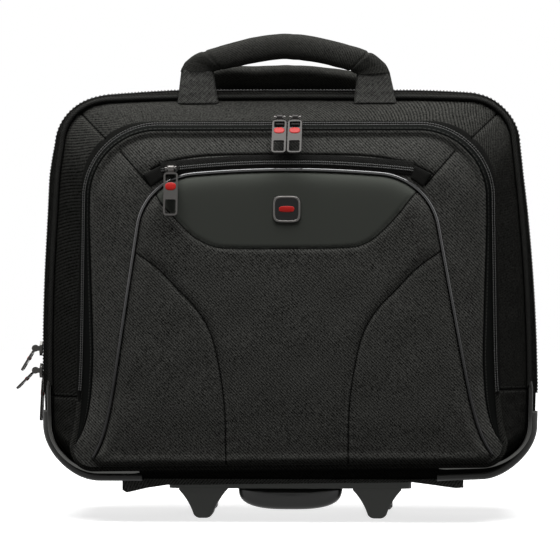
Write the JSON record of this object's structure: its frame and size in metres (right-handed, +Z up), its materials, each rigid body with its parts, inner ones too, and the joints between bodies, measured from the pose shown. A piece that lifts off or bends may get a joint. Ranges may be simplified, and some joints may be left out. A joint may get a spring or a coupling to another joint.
{
  "type": "rolling laptop case",
  "caption": "Soft zipped laptop case with a front organizer and pocket, carry handles, a telescopic pull handle and a moulded base with feet and wheels.",
  "frame": {"origin": "on the floor, in the plane of the foot soles, under the middle of the box round the whole case at rest", "axes": "+Z up, +X to the viewer's right as the case is seen from its front, -Y towards the front"},
  "size_m": [0.4718, 0.2136, 0.4375],
  "materials": {
    "nylon": "woven ballistic nylon, matt",
    "padding": "padded lining cloth, matt",
    "piping": "vinyl cord, satin",
    "bright_piping": "metallised cord, bright",
    "guard": "moulded, glossy",
    "moulding": "fine spark texture",
    "foot_rubber": "moulded, matt",
    "tyre": "matt",
    "hub": "moulded",
    "steel": "plain",
    "tube": "anodised, satin",
    "zip_chain": "nylon coil and tape",
    "gunmetal": "plated, dark",
    "webbing": "woven webbing",
    "grip_sleeve": "smooth coated cloth over foam",
    "badge": "glossy",
    "board": "sheet"
  },
  "bodies": {
    "chassis": {"main_gusset": "nylon", "back_panel": "nylon", "rear_piping": "piping", "laptop_divider": "padding", "lining_board": "board", "main_zip_rear": "zip_chain", "laptop_zip": "zip_chain", "base_tray": "moulding", "front_feet": "foot_rubber", "base_grip": "moulding", "base_flap": "nylon", "wheel_brackets": "moulding", "wheel_axles": "steel", "axle_bushes": "steel", "base_screws": "steel", "outer_tubes": "tube", "tube_foot": "moulding", "handle_cup": "moulding"},
    "trolley_middle": {"middle_tubes": "tube", "middle_collars": "moulding"},
    "trolley_top": {"inner_tubes": "tube", "trolley_grip": "moulding"},
    "release_button": {"grip_button": "moulding"},
    "left_wheel": {"left_hub": "hub", "left_tyre": "tyre"},
    "right_wheel": {"right_hub": "hub", "right_tyre": "tyre"},
    "lid": {"lid_panel": "nylon", "front_piping": "piping", "corner_beads": "guard", "corner_bands": "moulding", "organizer_wall_band": "nylon", "main_zip_front": "zip_chain", "organizer_zip_outer": "zip_chain"},
    "front_handle": {"front_handle_straps": "webbing", "front_handle_grip": "grip_sleeve"},
    "rear_handle": {"rear_handle_straps": "webbing", "rear_handle_grip": "grip_sleeve"},
    "flap": {"organizer_flap": "nylon", "organizer_rim": "nylon", "organizer_zip_inner": "zip_chain", "front_pocket": "nylon", "pocket_piping": "bright_piping", "pocket_zip": "zip_chain", "badge_plate": "badge"},
    "organizer_slider_left_body": {"organizer_slider_left": "gunmetal"},
    "organizer_pull_left_body": {"organizer_pull_left": "gunmetal"},
    "organizer_slider_right_body": {"organizer_slider_right": "gunmetal"},
    "organizer_pull_right_body": {"organizer_pull_right": "gunmetal"},
    "pocket_slider_body": {"pocket_slider": "gunmetal"},
    "pocket_pull_body": {"pocket_pull": "gunmetal"},
    "main_slider_upper_body": {"main_slider_upper": "gunmetal"},
    "main_pull_upper_body": {"main_pull_upper": "gunmetal"},
    "main_slider_lower_body": {"main_slider_lower": "gunmetal"},
    "main_pull_lower_body": {"main_pull_lower": "gunmetal"},
    "rear_slider_body": {"rear_slider": "gunmetal"},
    "rear_pull_body": {"rear_pull": "gunmetal"}
  },
  "joints": [
    {"name": "trolley_lower_slide", "type": "slide", "parent": "chassis", "child": "trolley_middle", "axis": [0, 0, 1], "range_m": [0, 0.27]},
    {"name": "trolley_upper_slide", "type": "slide", "parent": "trolley_middle", "child": "trolley_top", "axis": [0, 0, 1], "range_m": [0, 0.27]},
    {"name": "release_button_press", "type": "slide", "parent": "trolley_top", "child": "release_button", "axis": [0, 0, -1], "range_m": [0, 0.003], "stiffness_N_per_m": 400, "springref_m": -0.001},
    {"name": "left_wheel_spin", "type": "hinge", "parent": "chassis", "child": "left_wheel", "pos_m": [-0.0701, 0.07804, 0.025], "axis": [1, 0, 0], "continuous": true},
    {"name": "right_wheel_spin", "type": "hinge", "parent": "chassis", "child": "right_wheel", "pos_m": [0.0949, 0.07804, 0.025], "axis": [1, 0, 0], "continuous": true},
    {"name": "lid_hinge", "type": "hinge", "parent": "chassis", "child": "lid", "pos_m": [0.0124, -0.03146, 0.0365], "axis": [1, 0, 0], "range_deg": [0, 35]},
    {"name": "organizer_hinge", "type": "hinge", "parent": "lid", "child": "flap", "pos_m": [0.0124, -0.07711, 0.051], "axis": [1, 0, 0], "range_deg": [0, 35]},
    {"name": "front_handle_tilt", "type": "hinge", "parent": "lid", "child": "front_handle", "pos_m": [0.0124, -0.04966, 0.374], "axis": [1, 0, 0], "range_deg": [0, 85]},
    {"name": "rear_handle_tilt", "type": "hinge", "parent": "chassis", "child": "rear_handle", "pos_m": [0.0124, 0.03804, 0.3897], "axis": [1, 0, 0], "range_deg": [-70, 8]},
    {"name": "organizer_slider_left_slide", "type": "slide", "parent": "lid", "child": "organizer_slider_left_body", "axis": [-1, 0, 0], "range_m": [0, 0.09]},
    {"name": "organizer_slider_right_slide", "type": "slide", "parent": "lid", "child": "organizer_slider_right_body", "axis": [1, 0, 0], "range_m": [0, 0.09]},
    {"name": "organizer_pull_left_swing", "type": "hinge", "parent": "organizer_slider_left_body", "child": "organizer_pull_left_body", "pos_m": [0.0055, -0.07877, 0.36018], "axis": [-1, 0, 0], "range_deg": [0, 50]},
    {"name": "organizer_pull_right_swing", "type": "hinge", "parent": "organizer_slider_right_body", "child": "organizer_pull_right_body", "pos_m": [0.0193, -0.07877, 0.36018], "axis": [-1, 0, 0], "range_deg": [0, 50]},
    {"name": "pocket_slider_run", "type": "hinge", "parent": "flap", "child": "pocket_slider_body", "pos_m": [0.0124, -0.09146, -0.638], "axis": [0, 1, 0], "range_deg": [0, 12.19]},
    {"name": "pocket_pull_swing", "type": "hinge", "parent": "pocket_slider_body", "child": "pocket_pull_body", "pos_m": [-0.09015, -0.09466, 0.3146], "axis": [-1, 0, 0], "range_deg": [0, 100]},
    {"name": "main_slider_upper_run", "type": "hinge", "parent": "chassis", "child": "main_slider_upper_body", "pos_m": [1.71962, -0.03146, 0.14708], "axis": [0, 1, 0], "range_deg": [0, 3.26]},
    {"name": "main_slider_lower_slide", "type": "slide", "parent": "chassis", "child": "main_slider_lower_body", "axis": [0.0361, 0, 0.9993], "range_m": [-0.008, 0.002]},
    {"name": "rear_slider_run", "type": "hinge", "parent": "chassis", "child": "rear_slider_body", "pos_m": [1.71962, 0.02804, 0.14708], "axis": [0, 1, 0], "range_deg": [-0.06, 3.86]},
    {"name": "main_pull_upper_swing", "type": "hinge", "parent": "main_slider_upper_body", "child": "main_pull_upper_body", "pos_m": [-0.21865, -0.03146, 0.15404], "axis": [0, 1, 0], "range_deg": [-9, 60]},
    {"name": "main_pull_lower_swing", "type": "hinge", "parent": "main_slider_lower_body", "child": "main_pull_lower_body", "pos_m": [-0.21862, -0.03146, 0.13404], "axis": [0, 1, 0], "range_deg": [-42, 0]},
    {"name": "rear_pull_swing", "type": "hinge", "parent": "rear_slider_body", "child": "rear_pull_body", "pos_m": [-0.21857, 0.02804, 0.12804], "axis": [0, 1, 0], "range_deg": [-1, 100]}
  ]
}
